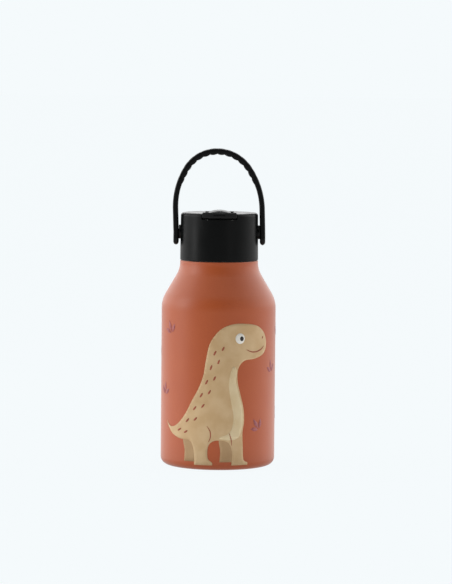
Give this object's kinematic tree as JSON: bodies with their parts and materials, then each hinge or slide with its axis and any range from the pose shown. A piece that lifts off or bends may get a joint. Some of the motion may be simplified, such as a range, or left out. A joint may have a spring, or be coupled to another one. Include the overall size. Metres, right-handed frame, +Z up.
{
  "type": "kids water bottle",
  "caption": "Small insulated steel water bottle with a sloped shoulder, a screw lid, a fold-down drinking spout and a tall carry loop.",
  "frame": {"origin": "centre of the base, on the surface the bottle stands on", "axes": "+Z up along the bottle's axis, -Y towards the drinking side, +X along the carry loop's pivot line"},
  "size_m": [0.07, 0.07, 0.1942],
  "materials": {
    "powder_coat": "matte powder coat, fine texture",
    "steel": "fine brushed stainless steel",
    "base_cover": "matte",
    "glass_bead": "glossy solder glass",
    "getter": "sintered grey",
    "foil": "bright foil",
    "lid_plastic": "fine satin texture",
    "insert_plastic": "satin",
    "silicone": "soft matte silicone",
    "soft_spout": "soft matte silicone",
    "straw_plastic": "translucent satin",
    "loop_plastic": "fine satin texture",
    "pin_plastic": "satin",
    "pin_steel": "ground steel",
    "washer_nylon": "matte",
    "print_ink": "matte print"
  },
  "bodies": {
    "bottle": {"outer_shell": "powder_coat", "inner_liner": "steel", "inner_base": "steel", "outer_base": "steel", "vacuum_seal_bead": "glass_bead", "base_cover_disc": "base_cover", "getter_pellet": "getter", "reflective_foil": "foil"},
    "rim_seal": {"rim_gasket": "silicone"},
    "plug_seal": {"plug_ring": "silicone"},
    "lid": {"lid_shell": "lid_plastic", "lid_insert": "insert_plastic", "spout_seal": "silicone", "straw": "straw_plastic", "vent_valve": "silicone", "spout_stub_left": "pin_steel", "spout_stub_right": "pin_steel", "loop_pin_left": "pin_plastic", "loop_pin_right": "pin_plastic", "loop_washer_left": "washer_nylon", "loop_washer_right": "washer_nylon"},
    "spout": {"spout": "lid_plastic", "mouthpiece": "soft_spout"},
    "loop": {"carry_loop": "loop_plastic"}
  },
  "joints": [
    {"name": "lid_lift_off", "type": "slide", "parent": "bottle", "child": "rim_seal", "axis": [0, 0, 1], "range_m": [0, 0.15]},
    {"name": "lid_rise", "type": "slide", "parent": "rim_seal", "child": "plug_seal", "axis": [0, 0, 1], "range_m": [0, 0.006]},
    {"name": "lid_turn", "type": "hinge", "parent": "plug_seal", "child": "lid", "pos_m": [0, 0, 0.14465], "axis": [0, 0, 1], "range_deg": [0, 540]},
    {"name": "spout_flip", "type": "hinge", "parent": "lid", "child": "spout", "pos_m": [0, 0.009, 0.15205], "axis": [-1, 0, 0], "range_deg": [0, 95]},
    {"name": "loop_swing", "type": "hinge", "parent": "lid", "child": "loop", "pos_m": [0, 0, 0.14295], "axis": [1, 0, 0], "range_deg": [-130, 130]}
  ],
  "couplings": [
    {"joint": "lid_rise", "follows": "lid_turn", "m_per_rad": 0.00063662}
  ]
}
